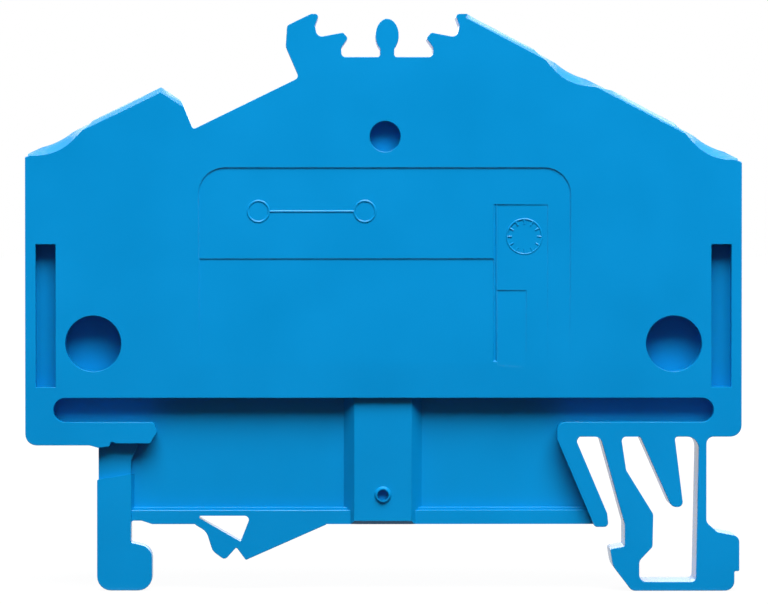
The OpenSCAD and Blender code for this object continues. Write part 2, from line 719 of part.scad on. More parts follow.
// Ribs that carry the current bar from below
module bar_supports() {
    run = bar_path();
    run_under = run[6][1] - bar_t / 2;
    run_left = run[6][0];
    run_l = run[5][0] - run_left;
    for (i = [1:run_supports])
        translate([run_left + i * run_l / (run_supports + 1) - rib_t / 2, inside_floor_h - sink])
            square([rib_t, run_under - inside_floor_h + sink]);
    for (i = [1:slope_supports])
        let (v = contact_v + i * entry_pitch / (slope_supports + 1))
            shape(clamp_box(entry_outer, bar_u + bar_t / 2, bar_u + top_h, v, v + rib_t));
}

// Bore of one conductor entry, the funnel that leads into it, and the driver slot beside it
module entry_cut(e, tab) {
    slot_end = contact_v + tab + loop_h + spring_t + driver_past;
    mouth_r = funnel_d / 2 + cut;
    at_entry(e, y_entry)
        translate([0, 0, -roof_t - nip])
            cylinder(d = entry_d, h = roof_t, $fn = 96);
    at_entry(e, y_funnel)
        rotate_extrude($fn = 96)
            polygon([
                [0, -funnel_d / 2 / tan(funnel_deg)],
                [mouth_r, cut / tan(funnel_deg)],
                [0, cut / tan(funnel_deg)]
            ]);
    slab(y_inside, y_inside + driver_slot_w)
        shape(clamp_box(e, -cut, roof_t + nip, slot_end - driver_slot_l, slot_end));
}

module all_entry_cuts() {
    entry_cut(entry_left, single_tab);
    entry_cut(entry_outer, single_tab);
    entry_cut(entry_inner, folded_tab);
}

// Blind recesses in the closed face
module face_recesses() {
    for (x = socket_places)
        translate([x, y_face - cut, socket_h])
            rotate([-90, 0, 0])
                cylinder(d = socket_d, h = socket_depth + cut, $fn = 64);
    translate([small_socket_x, y_face - cut, small_socket_h])
        rotate([-90, 0, 0])
            cylinder(d = small_socket_d, h = small_socket_depth + cut, $fn = 48);
    for (x = [side_slot_inset - reach_left, reach_right - side_slot_inset - side_slot_w])
        translate([x, y_face - cut, side_slot_h])
            cube([side_slot_w, face_recess + cut, side_slot_l]);
}

// Round peg on the open side that fits the next block's socket
module peg(x, z, socket, length) {
    r = socket / 2 - peg_play;
    translate([x, y_open - sink, z])
        rotate([-90, 0, 0])
            rotate_extrude($fn = 64)
                polygon([
                    [0, 0],
                    [r, 0],
                    [r, sink + length - peg_chamfer],
                    [r - peg_chamfer, sink + length],
                    [0, sink + length]
                ]);
}

module pegs() {
    for (x = socket_places)
        peg(x, socket_h, socket_d, peg_l);
    peg(small_socket_x, small_socket_h, small_socket_d, small_peg_l);
}

// Rib between the body and the seat, on both sides of the web
module seat_rib() {
    foot_w = rib_w + 2 * rib_flare;
    intersection() {
        linear_extrude(body_floor_h + sink)
            polygon([
                [-rib_w / 2, y_rib],
                [rib_w / 2, y_rib],
                [foot_w / 2, y_recess],
                [foot_w / 2, y_web_back],
                [rib_w / 2, -y_rib],
                [-rib_w / 2, -y_rib],
                [-foot_w / 2, y_web_back],
                [-foot_w / 2, y_recess]
            ]);
        slab(y_face, y_open)
            shape([
                [-foot_w / 2, body_floor_h + sink, 0],
                [-foot_w / 2, 0, LARGE],
                [foot_w / 2, 0, LARGE],
                [foot_w / 2, body_floor_h + sink, 0]
            ]);
        translate([-foot_w / 2, 0, 0])
            rotate([90, 0, 90])
                linear_extrude(foot_w)
                    polygon([
                        [y_rib, rib_chamfer],
                        [y_rib, body_floor_h + sink],
                        [y_open, body_floor_h + sink],
                        [y_open, 0],
                        [y_rib + rib_chamfer, 0]
                    ]);
    }
    gate_cone(gate_d, gate_dimple_d + 2 * gate_rim, y_rib - gate_ring_h, gate_ring_h + nip);
}

// Cone at the gate mark, from its front level towards the inside
module gate_cone(back_d, front_d, level, length) {
    translate([0, level + length, gate_h])
        rotate([90, 0, 0])
            cylinder(d1 = back_d, d2 = front_d, h = length, $fn = 32);
}

// Slopes the edge of the closed face along a straight part of its outline
module edge_cut(from, to) {
    run = to - from;
    slope = edge_drop * run[0] / norm(run) / edge_depth;
    translate([from[0], 0, from[1]])
        rotate([0, -atan2(run[1], run[0]), 0])
            rotate([90, 0, 90])
                linear_extrude(norm(run))
                    polygon([
                        [y_face - cut, -slope * (edge_depth + cut)],
                        [y_face + edge_depth + cut, slope * cut],
                        [y_face - cut, slope * cut]
                    ]);
}

// Sloped edges of both ramps and of the bevel behind the crest
module all_edge_cuts() {
    left_end = -reach_left - cut;
    right_end = reach_right + cut;
    edge_cut([left_end, left_ramp(left_end)], crest + [cut, cut * tan(left_ramp_deg)]);
    edge_cut(crest - (bevel_foot - crest), bevel_foot + (bevel_foot - crest) / 2);
    edge_cut([ramp_top_x, top_h], [right_end, right_ramp(right_end)]);
}

// Lip along the web's lower edge, with two slopes and a tread up to the web
module seat_lip() {
    front = y_recess - lip_step;
    middle = y_recess - lip_step / 2;
    tread_h = lip_h + lip_slope + lip_tread;
    intersection() {
        slab(y_face, y_open)
            shape(web_corners());
        translate([hook_wall_x, 0, 0])
            rotate([90, 0, 90])
                linear_extrude(rail_w)
                    polygon([
                        [front, -cut],
                        [front, lip_h],
                        [middle, lip_h + lip_slope],
                        [middle, tread_h],
                        [y_recess, tread_h + lip_slope],
                        [y_web_back, tread_h + lip_slope],
                        [y_web_back, -cut]
                    ]);
    }
}

// Sloped side of the hook's face towards the web
module hook_side() {
    front = y_recess - hook_step;
    linear_extrude(hook_face_h + hook_face_lean)
        polygon([
            [hook_wall_x - hook_draft, front],
            [hook_wall_x, front],
            [hook_wall_x + hook_draft, y_recess],
            [hook_wall_x + hook_draft, y_web_back],
            [hook_wall_x - hook_draft, y_web_back]
        ]);
}

// Web, lip, leg, hook and tooth: the fixed side of the rail seat
module rail_foot() {
    difference() {
        union() {
            slab(y_recess, y_web_back)
                shape(web_corners());
            slab(y_recess - lip_step, y_web_back)
                shape(tooth_corners());
            seat_lip();
            slab(y_recess - leg_step, y_web_back)
                shape(leg_corners());
            slab(y_recess - hook_step, y_web_back)
                shape(hook_corners());
            intersection() {
                hook_side();
                slab(y_face, y_open)
                    shape(web_corners());
            }
        }
        slab(y_face - cut, y_open + cut)
            shape(tooth_hole_corners());
    }
}

module housing() {
    color(POLYAMIDE_BLUE)
        difference() {
            union() {
                slab(y_face, y_open)
                    shape(face_corners());
                slab(y_recess, y_open)
                    translate([groove_inset - reach_left - sink, groove_bottom_h])
                        square([reach_left + reach_right - 2 * groove_inset + 2 * sink,
                                groove_w + sink]);
                rail_foot();
                seat_rib();
            }
            slab(y_inside, y_open + cut)
                difference() {
                    shape(cavity_corners());
                    inner_walls();
                }
            all_edge_cuts();
            all_entry_cuts();
            face_recesses();
            gate_cone(gate_dimple_d, gate_dimple_d, y_face, rib_recess + gate_dimple_l);
            slab(y_face - cut, y_open + cut)
                shape(latch_opening_corners());
        }
    color(POLYAMIDE_BLUE)
        pegs();
}

module current_bar() {
    color(TINNED_COPPER)
        difference() {
            slab(y_inside, y_inside + bar_w)
                shape(strip(bar_path(), bar_t));
            for (e = [[entry_left, single_tab], [entry_outer, single_tab], [entry_inner, folded_tab]])
                for (y = [y_inside - cut, y_metal + tab_w / 2])
                    slab(y, y + cut + (bar_w - tab_w) / 2)
                        shape(clamp_box(e[0], tip_u - cut, window_u + spring_t + tab_neck, contact_v - nip,
                                        contact_v + e[1] + nip));
        }
}

module clamp_spring(e, tab) {
    window_w = tab_w + 2 * window_play;
    color(SPRING_STEEL)
        difference() {
            slab(y_metal - spring_w / 2, y_metal + spring_w / 2)
                shape(strip(spring_path(e, tab), spring_t));
            slab(y_metal - window_w / 2, y_metal + window_w / 2)
                shape(clamp_box(e, window_u - spring_t, window_u + spring_t, contact_v,
                                contact_v + tab + loop_h - spring_t - window_bridge));
        }
}

housing();
current_bar();
clamp_spring(entry_left, single_tab);  // clamp_spring_left
clamp_spring(entry_outer, single_tab);  // clamp_spring_right_outer
clamp_spring(entry_inner, folded_tab);  // clamp_spring_right_inner
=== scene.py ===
"""Studio scene of a feed-through terminal block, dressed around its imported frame.

The frame gives every solid its place. This script steps the lip of the web, rounds the moulded and stamped
edges, presses the marking panel into the closed face, raises the mould's marks, gives plastic and metal
their finish, and sets light and camera.
"""
import logging
import math
from dataclasses import dataclass
from enum import Enum

import bmesh
import bpy
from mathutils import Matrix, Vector
from mathutils.bvhtree import BVHTree


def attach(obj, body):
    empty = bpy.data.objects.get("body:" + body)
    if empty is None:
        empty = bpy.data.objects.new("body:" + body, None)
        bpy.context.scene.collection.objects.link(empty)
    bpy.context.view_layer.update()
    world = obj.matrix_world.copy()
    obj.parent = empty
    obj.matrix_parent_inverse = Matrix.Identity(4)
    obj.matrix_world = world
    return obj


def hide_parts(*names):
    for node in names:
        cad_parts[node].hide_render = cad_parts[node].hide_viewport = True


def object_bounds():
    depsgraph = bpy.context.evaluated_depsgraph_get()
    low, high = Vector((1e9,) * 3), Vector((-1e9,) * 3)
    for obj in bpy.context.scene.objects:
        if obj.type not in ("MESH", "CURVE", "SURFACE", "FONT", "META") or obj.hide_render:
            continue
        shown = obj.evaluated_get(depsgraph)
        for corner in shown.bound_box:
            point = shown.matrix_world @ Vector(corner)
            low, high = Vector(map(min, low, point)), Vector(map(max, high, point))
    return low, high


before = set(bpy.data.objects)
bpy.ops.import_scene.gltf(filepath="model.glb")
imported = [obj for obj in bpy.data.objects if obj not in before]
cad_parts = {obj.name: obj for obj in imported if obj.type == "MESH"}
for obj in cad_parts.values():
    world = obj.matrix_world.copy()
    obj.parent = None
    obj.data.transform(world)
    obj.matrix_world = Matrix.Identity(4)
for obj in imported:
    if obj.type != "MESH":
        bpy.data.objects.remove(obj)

LOG = logging.getLogger("terminal_block")
CAD_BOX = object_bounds()
BODY = "root"

MM = 0.001
IMAGE_WIDTH_PX = 768
SENSOR_MM = 36.0

# Levels of the closed face and of the cavity's floor behind it
FACE_MM = -2.5
CAVITY_FLOOR_MM = -1.7

Colour = tuple[float, float, float, float]
Place = tuple[float, float, float]

WHITE = "#ffffff"

# Stretch of a pattern that looks the same along every axis
EVEN: Place = (1.0, 1.0, 1.0)


class Slot(Enum):
    """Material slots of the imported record."""

    POLYAMIDE = "polyamide_blue"
    TIN = "tinned_copper"
    STEEL = "spring_steel"


class Side(Enum):
    """Side of the block that a raised mark looks to, as the turn in degrees that brings it there."""

    CLOSED = 90.0
    OPEN = -90.0


def linear(hex_colour: str) -> Colour:
    """Turn an sRGB hex colour into linear light.

    Args:
        hex_colour: Colour such as "#008fd6".

    Returns:
        Red, green, blue and an alpha of 1.
    """
    values = [int(hex_colour[i:i + 2], 16) / 255 for i in (1, 3, 5)]
    light = [v / 12.92 if v <= 0.04045 else ((v + 0.055) / 1.055) ** 2.4 for v in values]
    return (light[0], light[1], light[2], 1.0)


def add_node(tree: bpy.types.NodeTree, kind: str, inputs: dict[str | int, object] | None = None,
             **settings: object) -> bpy.types.Node:
    """Add one node with its settings, its input values and its links.

    Args:
        tree: Tree that takes the node.
        kind: Node type, such as "ShaderNodeTexNoise".
        inputs: Values by socket name or number; a socket, or each of a list of sockets, is linked instead.
        settings: Properties of the node by name.

    Returns:
        The new node.
    """
    node = tree.nodes.new(kind)
    for name, value in settings.items():
        setattr(node, name, value)
    for name, value in (inputs or {}).items():
        sources = value if isinstance(value, list) else [value]
        if isinstance(sources[0], bpy.types.NodeSocket):
            for source in sources:
                tree.links.new(source, node.inputs[name])
        else:
            node.inputs[name].default_value = value
    return node


def new_material(name: str) -> tuple[bpy.types.Material, bpy.types.NodeTree]:
    """Make an empty node material.

    Args:
        name: Name of the real material.

    Returns:
        The material and its tree, which holds no nodes yet.
    """
    material = bpy.data.materials.new(name)
    material.use_nodes = True
    material.node_tree.nodes.clear()
    return material, material.node_tree


@dataclass(frozen=True)
class Finish:
    """The finish of one real material: two near colours, a changing gloss and a fine relief."""

    name: str
    colour: str
    shade: str
    roughness: tuple[float, float]
    blotch_mm: float
    relief_mm: float
    relief_depth_mm: float
    stretch: Place = EVEN
    shader: tuple[tuple[str, float], ...] = ()
    relief_strength: float = 0.3
    detail: float = 2.0

    def material(self) -> bpy.types.Material:
        """Build the material, or find it where it has been built already.

        Returns:
            The material that all pieces of this finish share.
        """
        if self.name in bpy.data.materials:
            return bpy.data.materials[self.name]
        material, tree = new_material(self.name)
        blotch = self.pattern(tree, self.blotch_mm, EVEN)
        relief = self.pattern(tree, self.relief_mm, self.stretch)
        colour = add_node(tree, "ShaderNodeMix", {
            "Factor": blotch, "A": linear(self.shade), "B": linear(self.colour),
        }, data_type="RGBA")
        rough = add_node(tree, "ShaderNodeMapRange", {
            "Value": blotch, "To Min": self.roughness[0], "To Max": self.roughness[1],
        })
        bump = add_node(tree, "ShaderNodeBump", {
            "Height": relief, "Strength": self.relief_strength, "Distance": self.relief_depth_mm * MM,
        })
        shader = add_node(tree, "ShaderNodeBsdfPrincipled", {
            "Base Color": colour.outputs["Result"],
            "Roughness": rough.outputs["Result"],
            "Normal": bump.outputs["Normal"],
            **dict(self.shader),
        })
        add_node(tree, "ShaderNodeOutputMaterial", {"Surface": shader.outputs["BSDF"]})
        return material

    def pattern(self, tree: bpy.types.NodeTree, width_mm: float, stretch: Place) -> bpy.types.NodeSocket:
        """Add an irregular pattern that lies fixed on the piece.

        Args:
            tree: Tree that takes the nodes.
            width_mm: Width of one blotch or line on the real surface.
            stretch: Factor along each axis; a small one draws the pattern out into lines.

        Returns:
            The pattern's value, from 0 to 1.
        """
        place = add_node(tree, "ShaderNodeTexCoord")
        laid = add_node(tree, "ShaderNodeMapping", {"Vector": place.outputs["Object"], "Scale": stretch})
        return add_node(tree, "ShaderNodeTexNoise", {
            "Vector": laid.outputs["Vector"], "Scale": 1 / (width_mm * MM), "Detail": self.detail,
        }).outputs["Fac"]


# Polyamide 66 from a finely eroded mould: a faintly cloudy satin blue with soft gloss. The erosion grain is
# about 0.03 mm on the real part; it is drawn five times as coarse, so that it shows.
POLYAMIDE = Finish(
    "moulded polyamide 66, signal blue", "#0090d3", "#0082c0", roughness=(0.2, 0.28), blotch_mm=7.0,
    relief_mm=0.16, relief_depth_mm=0.004, shader=(("IOR", 1.53), ("Specular IOR Level", 0.35)),
)

# Dull tin plate on rolled copper: pale grey with a warm cast, cloudy, with faint rolling lines.
TIN_PLATE = Finish(
    "dull tin plate on copper strip", "#c9c6be", "#b3aea3", roughness=(0.34, 0.46), blotch_mm=2.5,
    relief_mm=0.08, relief_depth_mm=0.003, stretch=(0.04, 1.0, 0.04), shader=(("Metallic", 1.0),),
)

# Cold-rolled stainless spring strip: brighter and cooler than the tin, with finer lines.
SPRING_STRIP = Finish(
    "rolled stainless spring strip", "#b4b8bb", "#9da2a6", roughness=(0.2, 0.3), blotch_mm=4.0,
    relief_mm=0.05, relief_depth_mm=0.002, stretch=(0.04, 1.0, 0.04), shader=(("Metallic", 1.0),),
)


def open_copy(node: bpy.types.Object, merge_mm: float = 0.0005, flat_deg: float = 0.5) -> bmesh.types.BMesh:
    """Copy a solid's mesh in millimetres, with its loose triangles merged into flat faces.

    Args:
        node: CAD node to copy.
        merge_mm: Distance within which points are one.
        flat_deg: Angle up to which neighbouring triangles are one face.

    Returns:
        The copy, which the caller frees.
    """
    copy = bmesh.new()
    copy.from_mesh(node.data)
    bmesh.ops.scale(copy, vec=Vector((1 / MM,) * 3), verts=copy.verts)
    bmesh.ops.remove_doubles(copy, verts=copy.verts, dist=merge_mm)
    bmesh.ops.dissolve_limit(copy, angle_limit=math.radians(flat_deg), verts=copy.verts, edges=copy.edges)
    return copy


def link_mesh(copy: bmesh.types.BMesh, name: str) -> bpy.types.Object:
    """Link a mesh to the scene as an object at the origin.

    Args:
        copy: Mesh to hand over, freed here.
        name: Name of the object.

    Returns:
        The new object.
    """
    mesh = bpy.data.meshes.new(name)
    copy.to_mesh(mesh)
    copy.free()
    piece = bpy.data.objects.new(name, mesh)
    bpy.context.scene.collection.objects.link(piece)
    return piece


def close_copy(copy: bmesh.types.BMesh, name: str, material: bpy.types.Material,
               crease_deg: float = 34.0, face_weight: int = 100) -> bpy.types.Object:
    """Turn a copy in millimetres into a finished object in metres.

    Args:
        copy: Mesh in millimetres, freed here.
        name: Name of the piece.
        material: Its finish.
        crease_deg: Edges that bend more keep a hard shade.
        face_weight: Pull of the large faces on the shade of their borders.

    Returns:
        The new object, at the origin.
    """
    bmesh.ops.scale(copy, vec=Vector((MM,) * 3), verts=copy.verts)
    for face in copy.faces:
        face.smooth = True
    for edge in copy.edges:
        edge.smooth = edge.is_manifold and edge.calc_face_angle(math.pi) < math.radians(crease_deg)
    piece = link_mesh(copy, name)
    piece.data.materials.append(material)
    normals = piece.modifiers.new("flat faces stay flat", "WEIGHTED_NORMAL")
    normals.weight = face_weight
    normals.keep_sharp = True
    return piece


def bind(piece: bpy.types.Object, node: str | None = None) -> None:
    """Bind a finished piece to its body, and hide the solid that it stands for.

    Args:
        piece: The finished piece.
        node: CAD node that it replaces, if any.
    """
    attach(piece, BODY)
    if node:
        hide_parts(node)
    LOG.info("%s: %d faces", piece.name, len(piece.data.polygons))


@dataclass(frozen=True)
class EdgeRound:
    """Small radius on the outer edges of a solid; spots too tight for it stay sharp."""

    radius_mm: float
    steps: int = 2
    profile: float = 0.5
    least_deg: float = 32.0
    clear_mm: float = 0.25
    stray_mm: float = 0.003
    touch: float = 1e-12
    rounds: int = 8

    def apply(self, copy: bmesh.types.BMesh) -> bmesh.types.BMesh:
        """Round a mesh, and leave out edges near spots where the round came out crossed.

        Args:
            copy: Mesh in millimetres, freed here.

        Returns:
            The rounded mesh.
        """
        skin = BVHTree.FromBMesh(copy)
        spoiled: list[Vector] = []
        for _ in range(self.rounds):
            trial = copy.copy()
            edges = [edge for edge in trial.edges if self.takes(edge, spoiled)]
            bmesh.ops.bevel(trial, geom=edges, offset=self.radius_mm, offset_type="OFFSET",
                            segments=self.steps, profile=self.profile, affect="EDGES",
                            clamp_overlap=False, loop_slide=True)
            found = self.strays(trial, skin) + self.crossings(trial)
            LOG.info("  %d edges rounded, %d spots spoiled", len(edges), len(found))
            if not found:
                break
            spoiled += found
            trial.free()
            trial = copy.copy()
        copy.free()
        return trial

    def takes(self, edge: bmesh.types.BMEdge, spoiled: list[Vector]) -> bool:
        """Tell whether an edge gets the radius.

        Args:
            edge: Edge of the mesh.
            spoiled: Spots where the round came out crossed.

        Returns:
            True for an outer edge that is clear of the spoiled spots.
        """
        outer = edge.is_manifold and edge.is_convex
        if not outer or edge.calc_face_angle(0.0) <= math.radians(self.least_deg):
            return False
        return all((vert.co - spot).length > self.clear_mm for vert in edge.verts for spot in spoiled)

    def strays(self, trial: bmesh.types.BMesh, skin: BVHTree) -> list[Vector]:
        """Find points that left the solid.

        Args:
            trial: Rounded mesh.
            skin: Surface of the solid before the round.

        Returns:
            The places on the solid that are next to them.
        """
        found = []
        for vert in trial.verts:
            near, normal, _, gap = skin.find_nearest(vert.co)
            if gap > 2 * self.radius_mm or (vert.co - near).dot(normal) > self.stray_mm:
                found.append(near.copy())
        return found

    def crossings(self, trial: bmesh.types.BMesh) -> list[Vector]:
        """Find places where a face's border crosses itself.

        Args:
            trial: Rounded mesh.

        Returns:
            A corner at the start of each of the two lines that cross.
        """
        found = []
        for face in trial.faces:
            across = face.normal.orthogonal().normalized()
            along = face.normal.cross(across)
            points = [Vector((vert.co.dot(across), vert.co.dot(along))) for vert in face.verts]
            count = len(points)
            for i in range(count - 2):
                for j in range(i + 2, count - (i == 0)):
                    if self.cross(points[i], points[i + 1], points[j], points[(j + 1) % count]):
                        found += [face.verts[i].co.copy(), face.verts[j].co.copy()]
        return found

    def cross(self, a: Vector, b: Vector, c: Vector, d: Vector) -> bool:
        """Tell whether two lines in a plane cross.

        Args:
            a: Start of the first line.
            b: Its end.
            c: Start of the second line.
            d: Its end.

        Returns:
            True if they cross, and False if they only touch.
        """
        if (min(a.x, b.x) > max(c.x, d.x) or max(a.x, b.x) < min(c.x, d.x)
                or min(a.y, b.y) > max(c.y, d.y) or max(a.y, b.y) < min(c.y, d.y)):
            return False
        first, second = b - a, d - c
        return (first.cross(c - a) * first.cross(d - a) < -self.touch
                and second.cross(a - c) * second.cross(b - c) < -self.touch)


@dataclass(frozen=True)
class Pocket:
    """A shallow pocket in the closed face, with a sloped floor; depths are at its left and right end."""

    left: float
    right: float
    bottom: float
    top: float
    top_depths: tuple[float, float]
    bottom_depths: tuple[float, float] = (0.0, 0.0)
    corner_r: float = 0.0
    corner_step_deg: int = 10

    def outline(self, grow: float) -> list[tuple[float, float]]:
        """List the corners of the pocket, against the clock as seen from the closed side.

        Args:
            grow: Distance by which they are moved outwards.

        Returns:
            The X and Z of each corner.
        """
        left, right = self.left - grow, self.right + grow
        bottom, top = self.bottom - grow, self.top + grow
        points = [(left, bottom), (right, bottom)]
        radius = self.corner_r + grow if self.corner_r else 0.0
        bends = range(0, 91, self.corner_step_deg) if radius else (0,)
        for x, side, first in ((right, -1, 0), (left, 1, 90)):
            for bend in bends:
                angle = math.radians(first + bend)
                points.append((x + radius * (side + math.cos(angle)), top - radius * (1 - math.sin(angle))))
        return points

    def sink(self, x: float, z: float) -> float:
        """Give the depth of the pocket's floor.

        Args:
            x: Place along the face.
            z: Height on the face.

        Returns:
            The depth behind the face.
        """
        across = (x - self.left) / (self.right - self.left)
        up = (z - self.bottom) / (self.top - self.bottom)
        ends = [low + up * (high - low) for low, high in zip(self.bottom_depths, self.top_depths)]
        return ends[0] + across * (ends[1] - ends[0])

    def cutter(self, face_mm: float, lift_mm: float = 0.3) -> bpy.types.Object:
        """Build the tool that presses the pocket.

        Args:
            face_mm: Level of the closed face.
            lift_mm: Height of the tool in front of the face.

        Returns:
            The tool, in millimetres.
        """
        tool = bmesh.new()
        floor = self.outline(-max(self.top_depths))
        mouth = self.outline(lift_mm)
        low = [tool.verts.new((x, face_mm + self.sink(x, z), z)) for x, z in floor]
        high = [tool.verts.new((x, face_mm - lift_mm, z)) for x, z in mouth]
        count = len(low)
        tool.faces.new(low[::-1])
        tool.faces.new(high)
        for i in range(count):
            tool.faces.new((low[i], low[(i + 1) % count], high[(i + 1) % count], high[i]))
        bmesh.ops.recalc_face_normals(tool, faces=tool.faces)
        return link_mesh(tool, "pocket tool")


@dataclass(frozen=True)
class MarkingPanel:
    """The field for markings on the closed face: a shallow panel with stepped pockets.

    The pockets are the panel, its wide field, its tall strip, the strip's lower step and the seam beside it.
    """

    pockets: tuple[Pocket, ...] = (
        Pocket(-13.23, 13.45, 11.5, 25.55, (0.1, 0.1), corner_r=1.93),
        Pocket(-13.21, 8.03, 11.4, 19.11, (0.13, 0.15)),
        Pocket(8.03, 11.9, 11.3, 23.0, (0.16, 0.12)),
        Pocket(8.05, 10.35, 11.2, 16.86, (0.14, 0.12)),
        Pocket(7.82, 8.18, 11.62, 23.0, (0.16, 0.16), (0.12, 0.12)),
    )

    def level(self, x: float, z: float) -> float:
        """Give the level of the panel's floor at a place of the face."""
        return FACE_MM + max(pocket.sink(x, z) for pocket in self.pockets
                             if pocket.left < x < pocket.right and pocket.bottom < z < pocket.top)

    def press(self, copy: bmesh.types.BMesh) -> bmesh.types.BMesh:
        """Press the pockets into a mesh of the housing.

        Args:
            copy: Mesh in millimetres, freed here.

        Returns:
            The mesh with its pockets.
        """
        blank = link_mesh(copy, "pressed blank")
        tools = [pocket.cutter(FACE_MM) for pocket in self.pockets]
        for tool in tools:
            press = blank.modifiers.new(tool.name, "BOOLEAN")
            press.operation = "DIFFERENCE"
            press.solver = "EXACT"
            press.object = tool
        graph = bpy.context.evaluated_depsgraph_get()
        pressed = bmesh.new()
        pressed.from_mesh(bpy.data.meshes.new_from_object(blank.evaluated_get(graph)))
        for spent in (blank, *tools):
            bpy.data.objects.remove(spent)
        return pressed


@dataclass(frozen=True)
class SeatLip:
    """The lip along the web's lower edge, whose two slopes are steep steps here.

    Each corner of its section is a Y, the Z that it has in the solid and the Z that it gets.
    """

    corners_mm: tuple[tuple[float, float, float], ...] = (
        (-1.65, 0.95, 1.0), (-1.35, 1.1, 1.02), (-1.35, 1.25, 1.2), (-1.05, 1.4, 1.22),
    )
    near_mm: float = 0.01

    def steepen(self, copy: bmesh.types.BMesh) -> None:
        """Slide the corners up or down along the walls in which the lip ends.

        Args:
            copy: Mesh of the housing in millimetres, changed in place.
        """
        copy.normal_update()
        for y, old_z, new_z in self.corners_mm:
            spot = Vector((y, old_z))
            found = [vert for vert in copy.verts if (vert.co.yz - spot).length < self.near_mm]
            for vert in found:
                wall = max((face.normal for face in vert.link_faces), key=lambda normal: abs(normal.x))
                rise = new_z - old_z
                vert.co += Vector((-rise * wall.z / wall.x, 0.0, rise))


@dataclass
class Housing:
    """The moulded housing with its small mould radii, its stepped lip and its marking panel."""

    node: str = "housing"
    edge: EdgeRound = EdgeRound(0.05)
    lip: SeatLip = SeatLip()
    panel: MarkingPanel = MarkingPanel()

    def build(self) -> None:
        """Step the lip, round the solid's edges, press the panel and stand the result in for the solid."""
        copy = open_copy(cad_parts[self.node])
        self.lip.steepen(copy)
        copy = self.edge.apply(copy)
        copy = self.panel.press(copy)
        piece = close_copy(copy, f"{self.node}_moulding", POLYAMIDE.material())
        bind(piece, self.node)


@dataclass
class StampedPart:
    """A stamped and bent strip inside the housing."""

    node: str
    slot: Slot
    finish: Finish
    edge: EdgeRound = EdgeRound(0.05, least_deg=45.0)

    def build(self) -> None:
        """Round the strip's cut edges and stand the result in for the solid."""
        copy = self.edge.apply(open_copy(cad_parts[self.node]))
        piece = close_copy(copy, f"{self.node}_strip", self.finish.material())
        bind(piece, self.node)


@dataclass(frozen=True)
class RingSize:
    """Size of a raised ring: its radius, the width of its line and how far the line stands out."""

    radius_mm: float
    stroke_mm: float
    relief_mm: float


